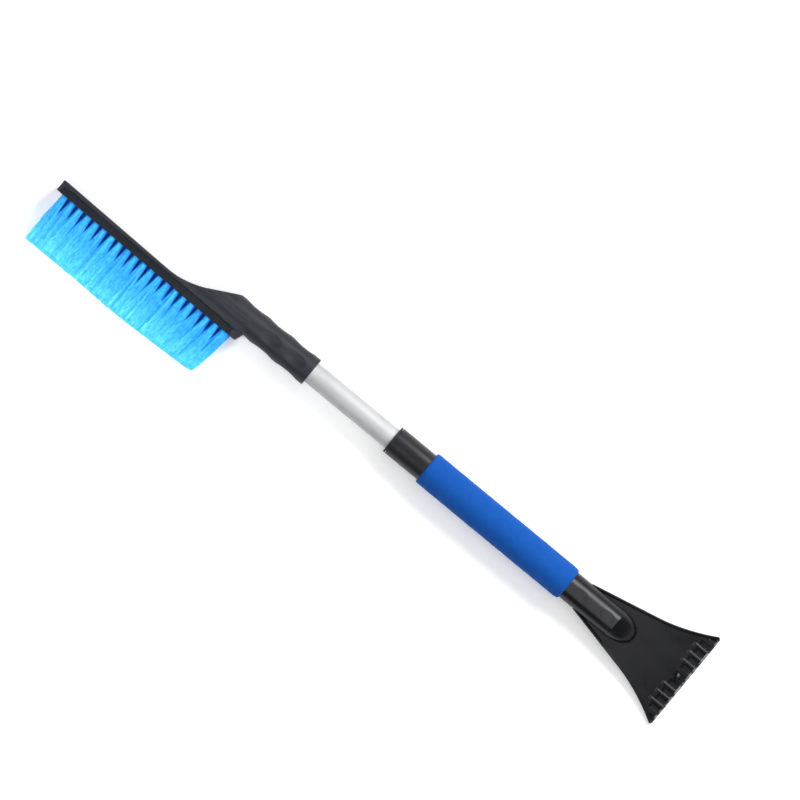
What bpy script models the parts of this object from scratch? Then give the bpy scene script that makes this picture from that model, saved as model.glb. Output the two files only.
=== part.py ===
"""Telescopic snow brush with an ice scraper: the solid model.

Units are metres, +Z is up. The handle lies along +X, from the brush to the scraper, and the bristles
point along -Y. The tool lies on the plane z = 0, and its origin is below the middle of its bounding box.

Every part is modelled in the handle's own frame, whose origin is on the tube axis at the mouth of the
outer tube. Three empties carry the parts: handle_frame, telescope_slide and twist_axis.
"""

import math

import bmesh
import bpy
from mathutils import Matrix, Vector

MM = 0.001

# Fits
GAP = 0.3 * MM
RUNNING_GAP = 0.2 * MM

# Handle: outer tube, foam grip and guide bush
MOUTH_X = 0.0
OUTER_TUBE_R = 13.9 * MM
OUTER_TUBE_BORE_R = 12.2 * MM
OUTER_TUBE_END_X = 200.0 * MM
GRIP_R = 16.5 * MM
GRIP_START_X = 40.0 * MM
GRIP_END_X = 205.5 * MM
GRIP_START_ROUND = 2.0 * MM
GRIP_END_ROUND = 4.5 * MM
BUSH_FLANGE_LENGTH = 2.0 * MM
BUSH_END_X = 36.3 * MM

# Inner tube and its twist lock
TRAVEL = 94.0 * MM
INNER_TUBE_R = 10.5 * MM
INNER_TUBE_BORE_R = 9.3 * MM
INNER_TUBE_END_X = 34.0 * MM
SOCKET_DEPTH = 40.0 * MM
PLUG_SHANK_LENGTH = 20.0 * MM
PLUG_FLANGE_R = 10.3 * MM
PLUG_FLANGE_LENGTH = 2.0 * MM
JOURNAL_R = 6.5 * MM
JOURNAL_OFFSET = 1.2 * MM
JOURNAL_LENGTH = 14.0 * MM
LOCK_RING_WIDTH = 12.7 * MM
LOCK_RING_SLIT = 2.0 * MM
PIN_R = 1.5 * MM
PLUG_PIN_X = INNER_TUBE_END_X - 10.0 * MM

# Scraper
SPIGOT_START_X = 160.0 * MM
SPIGOT_BORE_R = 8.5 * MM
BLADE_PIN_R = 2.0 * MM
BLADE_PIN_X = (172.0 * MM, 190.0 * MM)
HUB_TOP_END_X = 260.4 * MM
HUB_NOSE_END_X = 282.4 * MM
NOSE_FALL = 0.55
HUB_MARKS_X = (219.0 * MM, 249.8 * MM)
HUB_MARK_R = 9.0 * MM
HUB_MARK_DEPTH = 0.6 * MM
BLADE_START_X = 222.0 * MM
BLADE_FLARE_X = 287.0 * MM
BLADE_EDGE_X = 344.0 * MM
BLADE_HALF_WIDTH = 50.0 * MM
BLADE_ROOT_HALF_WIDTH = 14.4 * MM
BLADE_FLARE_HALF_WIDTH = 28.8 * MM
BLADE_FLARE_CONTROL = (318.0 * MM, 35.6 * MM)
BLADE_THICKNESS = 3.0 * MM
BLADE_CORNER_R = 2.5 * MM
BLADE_SLOPE = math.radians(7.3)
BLADE_ROOT_Z = 1.0 * MM
BLADE_RIM_WIDTH = 2.2 * MM
BLADE_RIM_HEIGHT = 0.8 * MM
BLADE_RIB_PITCH = 9.0 * MM
BLADE_RIB_WIDTH = 2.0 * MM
BLADE_POCKET_LENGTH = 12.5 * MM
BLADE_POCKET_DEPTH = 0.9 * MM
BLADE_POCKET_EDGE = 1.6 * MM
BLADE_BEVEL = 1.7 * MM
BLADE_NOTCH_R = 0.9 * MM

# Brush head
NECK_R = 14.0 * MM
NECK_END_X = -(TRAVEL + 0.5 * MM)
HEAD_SCREW_X = NECK_END_X - 6.0 * MM
NECK_TAPER_START_X = -186.0 * MM
NECK_TAPER_END_X = -224.0 * MM
NECK_TAPER_END_R = 9.5 * MM
DIMPLE_STATIONS_X = (-143.0 * MM, -114.0 * MM)
DIMPLE_HALF_LENGTH = 13.0 * MM
DIMPLE_DEPTH = 1.3 * MM
BLOCK_TIP_X = -375.3 * MM
BLOCK_RIGHT_X = -166.5 * MM
BLOCK_HALF_DEPTH = 11.0 * MM
BLOCK_TIP_Y = -19.1 * MM
BLOCK_RIGHT_Y = -21.6 * MM
BLOCK_EDGE_ROUND = 0.8 * MM
BACK_TIP = (BLOCK_TIP_X, -7.8 * MM)
BACK_BEND = (-254.0 * MM, -10.45 * MM)
BACK_CONTROL = (-235.5 * MM, -10.86 * MM)
BACK_RISE = (-217.0 * MM, -1.13 * MM)
BACK_PEAK = (-186.5 * MM, 15.0 * MM)
PANEL_HALF_DEPTH = 12.6 * MM
PANEL_TOP_Y = 2.0 * MM
STRIP_THICKNESS = 7.2 * MM
STRIP_START_X = -371.6 * MM
STRIP_END_X = -173.5 * MM
STRIP_RAIL_HEIGHT = 2.0 * MM
STRIP_RAIL_HALF_WIDTH = 4.0 * MM

# Bristles: two staggered rows of tufts
TUFT_FIRST_X = -365.6 * MM
TUFT_LAST_X = -178.4 * MM
FRONT_TUFTS = 21
ROW_Z = 5.5 * MM
TUFT_ROOT_R = 2.9 * MM
TUFT_HOLE_R = 3.2 * MM
TUFT_HOLE_DEPTH = 5.0 * MM
TUFT_TIP_LEFT_Y = -70.4 * MM
TUFT_TIP_RIGHT_Y = -68.1 * MM
TUFT_SPREAD_X = 4.3 * MM
TUFT_SPREAD_Z = 15.8 * MM
TUFT_ROW_GAP = 0.2 * MM
TUFT_LEAN_LEFT = -1.0 * MM
TUFT_LEAN_RIGHT = -7.0 * MM

# Where the handle's frame sits in the tool's frame
AXIS_X = -(BLOCK_TIP_X + BLADE_EDGE_X) / 2
AXIS_Y = -(TUFT_TIP_LEFT_Y + BLADE_HALF_WIDTH) / 2
AXIS_Z = GRIP_R

ROUND_SIDES = 40
SMALL_SIDES = 16
CUT_MARGIN = 1.0 * MM

BLACK_PLASTIC = ("black_plastic", (0.030, 0.032, 0.036), 0.38, 0.0)
GLOSS_PLASTIC = ("gloss_black_plastic", (0.014, 0.015, 0.017), 0.22, 0.0)
BLUE_FOAM = ("blue_foam", (0.020, 0.130, 0.520), 0.85, 0.0)
SATIN_ALUMINIUM = ("satin_aluminium", (0.72, 0.73, 0.75), 0.38, 1.0)
STEEL = ("steel", (0.56, 0.57, 0.58), 0.32, 1.0)
NYLON = ("natural_nylon", (0.78, 0.77, 0.72), 0.50, 0.0)
BLUE_BRISTLE = ("blue_bristle", (0.060, 0.420, 1.000), 0.60, 0.0)


# Helpers

def clear_scene():
    for obj in list(bpy.data.objects):
        bpy.data.objects.remove(obj, do_unlink=True)


def new_collection(name):
    collection = bpy.data.collections.new(name)
    bpy.context.scene.collection.children.link(collection)
    return collection


def material(spec):
    name, colour, roughness, metallic = spec
    found = bpy.data.materials.get(name)
    if found:
        return found
    made = bpy.data.materials.new(name)
    made.use_nodes = True
    shader = made.node_tree.nodes["Principled BSDF"]
    shader.inputs["Base Color"].default_value = (*colour, 1.0)
    shader.inputs["Roughness"].default_value = roughness
    shader.inputs["Metallic"].default_value = metallic
    made.diffuse_color = (*colour, 1.0)
    return made


def new_object(name, data, collection):
    obj = bpy.data.objects.new(name, data)
    collection.objects.link(obj)
    return obj


def new_empty(name, parent, location):
    empty = bpy.data.objects.new(name, None)
    empty.empty_display_size = 0.02
    empty.parent = parent
    empty.location = location
    PARTS.objects.link(empty)
    return empty


def face_out(shape):
    bmesh.ops.recalc_face_normals(shape, faces=shape.faces)
    if shape.calc_volume(signed=True) < 0:
        bmesh.ops.reverse_faces(shape, faces=shape.faces)


def settle(obj, weld=0.002 * MM):
    """Turn a curve, or a mesh with modifiers, into one plain welded mesh that faces out."""
    bpy.context.view_layer.update()
    graph = bpy.context.evaluated_depsgraph_get()
    mesh = bpy.data.meshes.new_from_object(obj.evaluated_get(graph))
    shape = bmesh.new()
    shape.from_mesh(mesh)
    bmesh.ops.remove_doubles(shape, verts=shape.verts, dist=weld)
    face_out(shape)
    shape.to_mesh(mesh)
    shape.free()
    name = obj.name
    collection = obj.users_collection[0]
    bpy.data.objects.remove(obj, do_unlink=True)
    mesh.name = name
    return new_object(name, mesh, collection)


def turned(name, profile, sides=ROUND_SIDES, closed=True):
    """A body turned about X. The profile is (x, radius) points: down the outer side, then back inside."""
    mesh = bpy.data.meshes.new(name)
    shape = bmesh.new()
    verts = [shape.verts.new((radius, 0.0, along)) for along, radius in profile]
    for first, second in zip(verts, verts[1:]):
        shape.edges.new((first, second))
    if closed:
        shape.edges.new((verts[-1], verts[0]))
    shape.to_mesh(mesh)
    shape.free()
    obj = new_object(name, mesh, CUTTERS)
    screw = obj.modifiers.new("turn", "SCREW")
    screw.axis = "Z"
    screw.steps = sides
    screw.render_steps = sides
    screw.use_merge_vertices = True
    screw.merge_threshold = 0.001 * MM
    obj.rotation_euler = (0.0, math.pi / 2, 0.0)
    body = settle(obj)
    body.data.transform(Matrix.Rotation(math.pi / 2, 4, "Y"))
    return body


def rod(name, radius, start, end, sides=SMALL_SIDES):
    """A plain round bar between two points."""
    start = Vector(start)
    end = Vector(end)
    mesh = bpy.data.meshes.new(name)
    shape = bmesh.new()
    bmesh.ops.create_cone(shape, cap_ends=True, segments=sides, radius1=radius, radius2=radius,
                          depth=(end - start).length)
    turn = (end - start).to_track_quat("Z", "Y").to_matrix().to_4x4()
    shape.transform(Matrix.Translation((start + end) / 2) @ turn)
    shape.to_mesh(mesh)
    shape.free()
    return new_object(name, mesh, CUTTERS)


def box(name, low, high):
    low = Vector(low)
    high = Vector(high)
    size = high - low
    mesh = bpy.data.meshes.new(name)
    shape = bmesh.new()
    bmesh.ops.create_cube(shape, size=1.0)
    shape.transform(Matrix.Translation((low + high) / 2) @ Matrix.Diagonal((*size, 1.0)))
    shape.to_mesh(mesh)
    shape.free()
    return new_object(name, mesh, CUTTERS)


def ball(name, centre, radii, segments=24, rings=12):
    mesh = bpy.data.meshes.new(name)
    shape = bmesh.new()
    bmesh.ops.create_uvsphere(shape, u_segments=segments, v_segments=rings, radius=1.0)
    shape.transform(Matrix.Translation(centre) @ Matrix.Diagonal((*radii, 1.0)))
    shape.to_mesh(mesh)
    shape.free()
    return new_object(name, mesh, CUTTERS)


def merge_flat_faces(body):
    shape = bmesh.new()
    shape.from_mesh(body.data)
    bmesh.ops.dissolve_limit(shape, angle_limit=math.radians(0.5), verts=shape.verts, edges=shape.edges)
    shape.to_mesh(body.data)
    shape.free()


def plate(name, outline, half_thickness, bevel=0.0):
    """A flat XY outline, thickened evenly to both sides of its plane."""
    curve = bpy.data.curves.new(name, "CURVE")
    curve.dimensions = "2D"
    curve.fill_mode = "BOTH"
    curve.extrude = half_thickness
    spline = curve.splines.new("POLY")
    spline.points.add(len(outline) - 1)
    for point, (x, y) in zip(spline.points, outline):
        point.co = (x, y, 0.0, 1.0)
    spline.use_cyclic_u = True
    body = settle(new_object(name, curve, CUTTERS))
    if bevel:
        merge_flat_faces(body)
        rounding = body.modifiers.new("round", "BEVEL")
        rounding.width = bevel
        rounding.segments = 1
        rounding.limit_method = "ANGLE"
        rounding.angle_limit = math.radians(60)
        body = settle(body)
    return body


def loft(name, rings):
    """A skin over closed rings of equal count, capped at both ends."""
    mesh = bpy.data.meshes.new(name)
    shape = bmesh.new()
    rows = [[shape.verts.new(point) for point in ring] for ring in rings]
    count = len(rows[0])
    for row, following in zip(rows, rows[1:]):
        for i in range(count):
            j = (i + 1) % count
            shape.faces.new((row[i], row[j], following[j], following[i]))
    shape.faces.new(reversed(rows[0]))
    shape.faces.new(rows[-1])
    face_out(shape)
    shape.to_mesh(mesh)
    shape.free()
    return new_object(name, mesh, CUTTERS)


def combine(body, tools, operation):
    for tool in tools:
        boolean = body.modifiers.new(operation.lower(), "BOOLEAN")
        boolean.operation = operation
        boolean.solver = "EXACT"
        boolean.object = tool
    result = settle(body)
    for tool in tools:
        bpy.data.objects.remove(tool, do_unlink=True)
    return result


def cut(body, *tools):
    return combine(body, tools, "DIFFERENCE")


def join(body, *tools):
    return combine(body, tools, "UNION")


def publish(obj, name, spec, parent):
    """Make a finished body one of the tool's parts."""
    obj.name = name
    obj.data.name = name
    for collection in list(obj.users_collection):
        collection.objects.unlink(obj)
    PARTS.objects.link(obj)
    obj.data.materials.clear()
    obj.data.materials.append(material(spec))
    obj.data.shade_smooth()
    obj.data.set_sharp_from_angle(angle=math.radians(35))
    obj.parent = parent
    return obj


def curve_points(start, control, end, count):
    """Points on a quadratic curve, both ends included."""
    points = []
    for i in range(count):
        t = i / (count - 1)
        a, b, c = (1 - t) ** 2, 2 * t * (1 - t), t * t
        points.append((a * start[0] + b * control[0] + c * end[0],
                       a * start[1] + b * control[1] + c * end[1]))
    return points


def arc(centre, radius, first, last, count):
    """Points on a circular arc, angles in degrees."""
    points = []
    for i in range(count):
        angle = math.radians(first + (last - first) * i / (count - 1))
        points.append((centre[0] + radius * math.cos(angle), centre[1] + radius * math.sin(angle)))
    return points


# Handle

def make_outer_tube():
    start = MOUTH_X + BUSH_FLANGE_LENGTH + GAP
    profile = [(OUTER_TUBE_END_X, OUTER_TUBE_R), (start, OUTER_TUBE_R),
               (start, OUTER_TUBE_BORE_R), (OUTER_TUBE_END_X, OUTER_TUBE_BORE_R)]
    tube = turned("outer_tube", profile)
    for x in BLADE_PIN_X:
        tube = cut(tube, rod("hole", BLADE_PIN_R + GAP, (x, -0.02, 0.0), (x, 0.02, 0.0)))
    publish(tube, "outer_tube", GLOSS_PLASTIC, HANDLE)


def make_foam_grip():
    bore = OUTER_TUBE_R + GAP
    profile = [(GRIP_END_X, bore)]
    for along, out in arc((0.0, 0.0), 1.0, 15, 90, 5):
        profile.append((GRIP_END_X - GRIP_END_ROUND * (1 - along), bore + (GRIP_R - bore) * out))
    profile += [(GRIP_START_X + GRIP_START_ROUND, GRIP_R), (GRIP_START_X, GRIP_R - 0.5 * GRIP_START_ROUND)]
    profile += [(GRIP_START_X, bore)]
    publish(turned("foam_grip", profile), "foam_grip", BLUE_FOAM, HANDLE)


def make_guide_bush():
    flange_end = MOUTH_X + BUSH_FLANGE_LENGTH
    sleeve_r = OUTER_TUBE_BORE_R - RUNNING_GAP
    bore = INNER_TUBE_R + RUNNING_GAP
    profile = [(BUSH_END_X, sleeve_r), (flange_end, sleeve_r), (flange_end, OUTER_TUBE_R),
               (MOUTH_X, OUTER_TUBE_R), (MOUTH_X, bore), (BUSH_END_X, bore)]
    publish(turned("guide_bush", profile), "guide_bush", BLACK_PLASTIC, HANDLE)


def blade_outline(inset=0.0):
    """The blade seen from above, symmetric about X, pulled in by the inset on every side."""
    root_half_width = BLADE_ROOT_HALF_WIDTH - inset
    flare = (BLADE_FLARE_X, BLADE_FLARE_HALF_WIDTH - inset)
    control = (BLADE_FLARE_CONTROL[0], BLADE_FLARE_CONTROL[1] - inset)
    corner_x = BLADE_EDGE_X - BLADE_CORNER_R - inset
    corner_y = BLADE_HALF_WIDTH - BLADE_CORNER_R - inset * 1.6
    side = [(BLADE_START_X + inset, root_half_width)]
    side += curve_points(flare, control, (corner_x - 1.4 * MM, corner_y + 1.2 * MM), 9)
    side += arc((corner_x, corner_y), BLADE_CORNER_R, 100, 0, 5)
    return side + [(x, -y) for x, y in reversed(side)]


def blade_matrix():
    """From a flat blade around z = 0 to its place: a shear, so that it drops towards the edge."""
    fall = Matrix.Identity(4)
    fall[2][0] = -math.tan(BLADE_SLOPE)
    to_root = Matrix.Translation((-BLADE_START_X, 0.0, 0.0))
    return Matrix.Translation((BLADE_START_X, 0.0, BLADE_ROOT_Z)) @ fall @ to_root


def make_blade_plate():
    half = BLADE_THICKNESS / 2
    blade = plate("blade", blade_outline(), half)
    field = plate("field", blade_outline(BLADE_RIM_WIDTH), half)
    field.data.transform(Matrix.Translation((0.0, 0.0, BLADE_THICKNESS - BLADE_RIM_HEIGHT)))
    blade = cut(blade, field)
    pocket_end = BLADE_EDGE_X - BLADE_RIM_WIDTH - BLADE_POCKET_EDGE
    floor = half - BLADE_RIM_HEIGHT - BLADE_POCKET_DEPTH
    half_pocket = (BLADE_RIB_PITCH - BLADE_RIB_WIDTH) / 2
    pockets = []
    for i in range(-4, 5):
        y = i * BLADE_RIB_PITCH
        pockets.append(box("pocket", (pocket_end - BLADE_POCKET_LENGTH, y - half_pocket, floor),
                           (pocket_end, y + half_pocket, half + CUT_MARGIN)))
    blade = cut(blade, *pockets)
    wedge = box("wedge", (-0.02, -0.07, 0.0), (0.02, 0.07, 0.02))
    wedge.data.transform(Matrix.Translation((BLADE_EDGE_X, 0.0, -half + 0.6 * MM))
                         @ Matrix.Rotation(math.atan2(BLADE_THICKNESS - 0.6 * MM, BLADE_BEVEL), 4, "Y"))
    notches = []
    for i in range(-4, 4):
        y = (i + 0.5) * BLADE_RIB_PITCH
        notches.append(rod("notch", BLADE_NOTCH_R, (BLADE_EDGE_X, y, -0.01), (BLADE_EDGE_X, y, 0.01), 8))
    blade = cut(blade, wedge, *notches)
    blade.data.transform(blade_matrix())
    return blade


def hub_section(x, half_width, centre_z, top, bottom):
    ring = []
    for i in range(ROUND_SIDES):
        angle = 2 * math.pi * i / ROUND_SIDES
        height = top if math.sin(angle) > 0 else bottom
        ring.append((x, half_width * math.cos(angle), centre_z + height * math.sin(angle)))
    return ring


def make_hub():
    r = OUTER_TUBE_R
    start = OUTER_TUBE_END_X + GAP
    rings = [hub_section(start, r, 0.0, r, r)]
    nose = HUB_NOSE_END_X - HUB_TOP_END_X
    steps = 8
    for i in range(steps):
        t = i / steps
        x = HUB_TOP_END_X + nose * t
        plate_z = BLADE_ROOT_Z - (x - BLADE_START_X) * math.tan(BLADE_SLOPE)
        top = r * (1 - NOSE_FALL * t) * math.sqrt(1 - t ** 6)
        rings.append(hub_section(x, r * math.sqrt(1 - t * t), plate_z * t, top, r * (1 - t)))
    hub = loft("hub", rings)
    spigot_r = OUTER_TUBE_BORE_R - GAP
    spigot = turned("spigot", [(start + 5 * MM, 0.0), (start + 5 * MM, spigot_r), (SPIGOT_START_X, spigot_r),
                               (SPIGOT_START_X, 0.0)], closed=False)
    return join(hub, spigot)


def make_scraper():
    scraper = join(make_hub(), make_blade_plate())
    bore = rod("bore", SPIGOT_BORE_R, (SPIGOT_START_X - CUT_MARGIN, 0, 0), (OUTER_TUBE_END_X + 30 * MM, 0, 0),
               ROUND_SIDES)
    mark_z = OUTER_TUBE_R + HUB_MARK_R - HUB_MARK_DEPTH
    marks = [ball("mark", (x, 0.0, mark_z), (HUB_MARK_R,) * 3) for x in HUB_MARKS_X]
    pin_holes = [rod("hole", BLADE_PIN_R + GAP, (x, -0.02, 0.0), (x, 0.02, 0.0)) for x in BLADE_PIN_X]
    scraper = cut(scraper, bore, *marks)
    scraper = cut(scraper, *pin_holes)
    publish(scraper, "scraper_blade", GLOSS_PLASTIC, HANDLE)


def make_blade_pins():
    reach = OUTER_TUBE_R - 0.2 * MM
    for i, x in enumerate(BLADE_PIN_X, start=1):
        pin = rod("pin", BLADE_PIN_R, (x, -reach, 0.0), (x, reach, 0.0))
        publish(pin, f"scraper_pin_{i}", STEEL, HANDLE)


# Inner tube and its twist lock

def make_inner_tube():
    start = NECK_END_X - SOCKET_DEPTH + GAP
    profile = [(INNER_TUBE_END_X, INNER_TUBE_R), (start, INNER_TUBE_R),
               (start, INNER_TUBE_BORE_R), (INNER_TUBE_END_X, INNER_TUBE_BORE_R)]
    tube = turned("inner_tube", profile)
    tube = cut(tube, rod("hole", PIN_R + GAP, (PLUG_PIN_X, -0.02, 0.0), (PLUG_PIN_X, 0.02, 0.0)))
    tube = cut(tube, rod("hole", PIN_R + GAP, (HEAD_SCREW_X, 0.0, -0.02), (HEAD_SCREW_X, 0.0, 0.0)))
    publish(tube, "inner_tube", SATIN_ALUMINIUM, BRUSH)


def make_lock_plug():
    end = INNER_TUBE_END_X
    shank_r = INNER_TUBE_BORE_R - RUNNING_GAP
    flange_start = end + GAP
    flange_end = flange_start + PLUG_FLANGE_LENGTH
    body = turned("plug", [(flange_end, 0.0), (flange_end, PLUG_FLANGE_R), (flange_start, PLUG_FLANGE_R),
                           (flange_start, shank_r), (end - PLUG_SHANK_LENGTH, shank_r),
                           (end - PLUG_SHANK_LENGTH, 0.0)], closed=False)
    journal = rod("journal", JOURNAL_R, (flange_end - CUT_MARGIN, 0.0, JOURNAL_OFFSET),
                  (flange_end + JOURNAL_LENGTH, 0.0, JOURNAL_OFFSET), 32)
    body = join(body, journal)
    pin_hole = rod("hole", PIN_R + GAP, (PLUG_PIN_X, -0.02, 0.0), (PLUG_PIN_X, 0.02, 0.0))
    screw_hole = rod("hole", PIN_R + GAP, (flange_end + 2 * MM, 0.0, 0.0), (flange_end + 0.03, 0.0, 0.0))
    publish(cut(body, pin_hole, screw_hole), "lock_plug", NYLON, BRUSH)


def make_plug_pin():
    reach = INNER_TUBE_R - 0.2 * MM
    pin = rod("pin", PIN_R, (PLUG_PIN_X, -reach, 0.0), (PLUG_PIN_X, reach, 0.0))
    publish(pin, "plug_pin", STEEL, BRUSH)


def make_lock_ring():
    start = INNER_TUBE_END_X + GAP + PLUG_FLANGE_LENGTH + 0.5 * MM
    end = start + LOCK_RING_WIDTH
    outer = OUTER_TUBE_BORE_R - RUNNING_GAP
    bore = JOURNAL_R + JOURNAL_OFFSET + GAP
    ring = turned("ring", [(end, outer), (start, outer), (start, bore), (end, bore)])
    slit = box("slit", (start - CUT_MARGIN, -LOCK_RING_SLIT / 2, 0.0),
               (end + CUT_MARGIN, LOCK_RING_SLIT / 2, 0.02))
    publish(cut(ring, slit), "lock_ring", NYLON, SLIDER)


def make_lock_fastener():
    start = INNER_TUBE_END_X + GAP + PLUG_FLANGE_LENGTH + JOURNAL_LENGTH + GAP
    washer_end = start + 1.5 * MM
    washer = turned("washer", [(washer_end, 10.5 * MM), (start, 10.5 * MM), (start, PIN_R + GAP),
                               (washer_end, PIN_R + GAP)])
    publish(washer, "lock_washer", STEEL, BRUSH)
    head_start = washer_end + GAP
    head_end = head_start + 2.4 * MM
    screw = turned("screw", [(head_end, 0.0), (head_end, 2.4 * MM), (head_start + 1.2 * MM, 3.6 * MM),
                             (head_start, 3.6 * MM), (head_start, PIN_R), (head_start - 11 * MM, PIN_R),
                             (head_start - 11 * MM, 0.0)], SMALL_SIDES, closed=False)
    slots = [box("slot", (head_end - 1.2 * MM, -a, -b), (head_end + CUT_MARGIN, a, b))
             for a, b in ((0.4 * MM, 1.6 * MM), (1.6 * MM, 0.4 * MM))]
    publish(cut(screw, *slots), "lock_screw", STEEL, BRUSH)


# Brush head

def block_bottom_y(x):
    """The underside of the block, from which the bristles leave."""
    return BLOCK_TIP_Y + (BLOCK_RIGHT_Y - BLOCK_TIP_Y) * (x - BLOCK_TIP_X) / (BLOCK_RIGHT_X - BLOCK_TIP_X)


def strip_back_y(x):
    return block_bottom_y(x) + STRIP_THICKNESS


def back_edge():
    """The wing's back edge, from the tip of the block up to the neck."""
    return [BACK_TIP] + curve_points(BACK_BEND, BACK_CONTROL, BACK_RISE, 8) + [BACK_PEAK]


def make_head_block():
    outline = [point for point in back_edge() if point[1] < PANEL_TOP_Y]
    outline += [(-200.0 * MM, 7.8 * MM), (-164.0 * MM, 7.8 * MM), (-163.2 * MM, -12.6 * MM)]
    outline += [(BLOCK_RIGHT_X, BLOCK_RIGHT_Y), (BLOCK_TIP_X, BLOCK_TIP_Y)]
    return plate("block", outline, BLOCK_HALF_DEPTH, BLOCK_EDGE_ROUND)


def make_head_panel():
    """The raised cheek of the wing, below the neck and ending in a slanted step."""
    foot = STRIP_THICKNESS + 0.6 * MM
    outline = [(-252.0 * MM, block_bottom_y(-252.0 * MM) + foot), (-236.0 * MM, -8.6 * MM)]
    outline += [(-217.0 * MM, -1.5 * MM), (-210.5 * MM, PANEL_TOP_Y), (-163.8 * MM, PANEL_TOP_Y)]
    outline += [(-169.2 * MM, block_bottom_y(-169.2 * MM) + foot)]
    return plate("panel", outline, PANEL_HALF_DEPTH, BLOCK_EDGE_ROUND)


def make_neck():
    neck = turned("neck", [(NECK_END_X, 0.0), (NECK_END_X, NECK_R - 0.5 * MM),
                           (NECK_END_X - 0.5 * MM, NECK_R), (NECK_TAPER_START_X, NECK_R),
                           (NECK_TAPER_END_X, NECK_TAPER_END_R), (NECK_TAPER_END_X, 0.0)], closed=False)
    beyond = [point for point in back_edge() if point[0] > BACK_BEND[0]]
    beyond += [(BACK_PEAK[0], 0.03), (-0.26, 0.03), (-0.26, -0.03), (NECK_TAPER_END_X - CUT_MARGIN, -0.03)]
    trim = plate("trim", [(x, y) for x, y in beyond if x > NECK_TAPER_END_X - 0.05], 0.03)
    return cut(neck, trim)


def dimples():
    tools = []
    radius = (DIMPLE_HALF_LENGTH ** 2 + DIMPLE_DEPTH ** 2) / (2 * DIMPLE_DEPTH)
    depth_radius = 7.5 * MM
    for x in DIMPLE_STATIONS_X:
        for y, z in ((0, 1), (1, 0), (0, -1), (-1, 0)):
            reach = NECK_R - DIMPLE_DEPTH + depth_radius
            along = math.sqrt(depth_radius ** 2 - (depth_radius - DIMPLE_DEPTH) ** 2)
            stretch = depth_radius * DIMPLE_HALF_LENGTH / along
            tools.append(ball("dimple", (x, y * reach, z * reach),
                              (min(stretch, radius), depth_radius, depth_radius)))
    return tools


def make_brush_head():
    head = join(make_head_block(), make_head_panel())
    head = join(head, make_neck())
    socket = rod("socket", INNER_TUBE_R + GAP, (NECK_END_X + CUT_MARGIN, 0.0, 0.0),
                 (NECK_END_X - SOCKET_DEPTH, 0.0, 0.0), ROUND_SIDES)
    x0, x1 = STRIP_START_X - GAP, STRIP_END_X + GAP
    channel = plate("channel", [(x0, block_bottom_y(x0) - 0.01), (x0, strip_back_y(x0) + GAP),
                                (x1, strip_back_y(x1) + GAP), (x1, block_bottom_y(x1) - 0.01)], 0.03)
    rail_top = STRIP_RAIL_HEIGHT + 2 * GAP
    slot = plate("slot", [(x0, strip_back_y(x0) - CUT_MARGIN), (x0, strip_back_y(x0) + rail_top),
                          (x1, strip_back_y(x1) + rail_top), (x1, strip_back_y(x1) - CUT_MARGIN)],
                 STRIP_RAIL_HALF_WIDTH + GAP)
    head = cut(head, socket)
    head = cut(head, channel)
    head = cut(head, slot)
    head = cut(head, *dimples())
    seat = -NECK_R + 2.5 * MM
    screw_hole = rod("hole", PIN_R + GAP, (HEAD_SCREW_X, 0.0, -0.02), (HEAD_SCREW_X, 0.0, -0.005))
    recess = rod("recess", 3.6 * MM, (HEAD_SCREW_X, 0.0, -0.02), (HEAD_SCREW_X, 0.0, seat))
    head = cut(head, screw_hole, recess)
    publish(head, "brush_head", BLACK_PLASTIC, BRUSH)


def make_head_screw():
    seat = -NECK_R + 2.5 * MM - GAP
    screw = rod("screw", 3.2 * MM, (HEAD_SCREW_X, 0.0, seat), (HEAD_SCREW_X, 0.0, seat - 1.8 * MM))
    shank = rod("shank", PIN_R, (HEAD_SCREW_X, 0.0, seat - 1.0 * MM),
                (HEAD_SCREW_X, 0.0, -INNER_TUBE_BORE_R + 1.5 * MM))
    screw = join(screw, shank)
    end = seat - 1.8 * MM
    slots = [box("slot", (HEAD_SCREW_X - a, -b, end - CUT_MARGIN), (HEAD_SCREW_X + a, b, end + 1.0 * MM))
             for a, b in ((1.8 * MM, 0.4 * MM), (0.4 * MM, 1.8 * MM))]
    publish(cut(screw, *slots), "head_screw", STEEL, BRUSH)


def tuft_rows():
    """Each tuft's name, place along the handle, and side of the strip: +1 above, -1 below."""
    pitch = (TUFT_LAST_X - TUFT_FIRST_X) / (FRONT_TUFTS - 1)
    rows = [(f"tuft_upper_{i + 1:02d}", TUFT_FIRST_X + pitch * i, 1) for i in range(FRONT_TUFTS)]
    rows += [(f"tuft_lower_{i + 1:02d}", TUFT_FIRST_X + pitch * (i + 0.5), -1)
             for i in range(FRONT_TUFTS - 1)]
    return rows


def make_bristle_strip():
    x0, x1 = STRIP_START_X, STRIP_END_X
    strip = plate("strip", [(x0, block_bottom_y(x0)), (x0, strip_back_y(x0)), (x1, strip_back_y(x1)),
                            (x1, block_bottom_y(x1))], BLOCK_HALF_DEPTH - 0.2 * MM)
    rail = plate("rail", [(x0, strip_back_y(x0) - CUT_MARGIN), (x0, strip_back_y(x0) + STRIP_RAIL_HEIGHT),
                          (x1, strip_back_y(x1) + STRIP_RAIL_HEIGHT), (x1, strip_back_y(x1) - CUT_MARGIN)],
                 STRIP_RAIL_HALF_WIDTH)
    strip = join(strip, rail)
    holes = []
    for _, x, side in tuft_rows():
        bottom = block_bottom_y(x)
        holes.append(rod("hole", TUFT_HOLE_R, (x, bottom - 0.01, side * ROW_Z),
                         (x, bottom + TUFT_HOLE_DEPTH, side * ROW_Z), 12))
    publish(cut(strip, *holes), "bristle_strip", BLACK_PLASTIC, BRUSH)


def tuft_ring(x, y, centre_z, half_x, half_z, sides=10):
    ring = []
    for i in range(sides):
        angle = 2 * math.pi * i / sides
        ring.append((x + half_x * math.cos(angle), y, centre_z + half_z * math.sin(angle)))
    return ring


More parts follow.
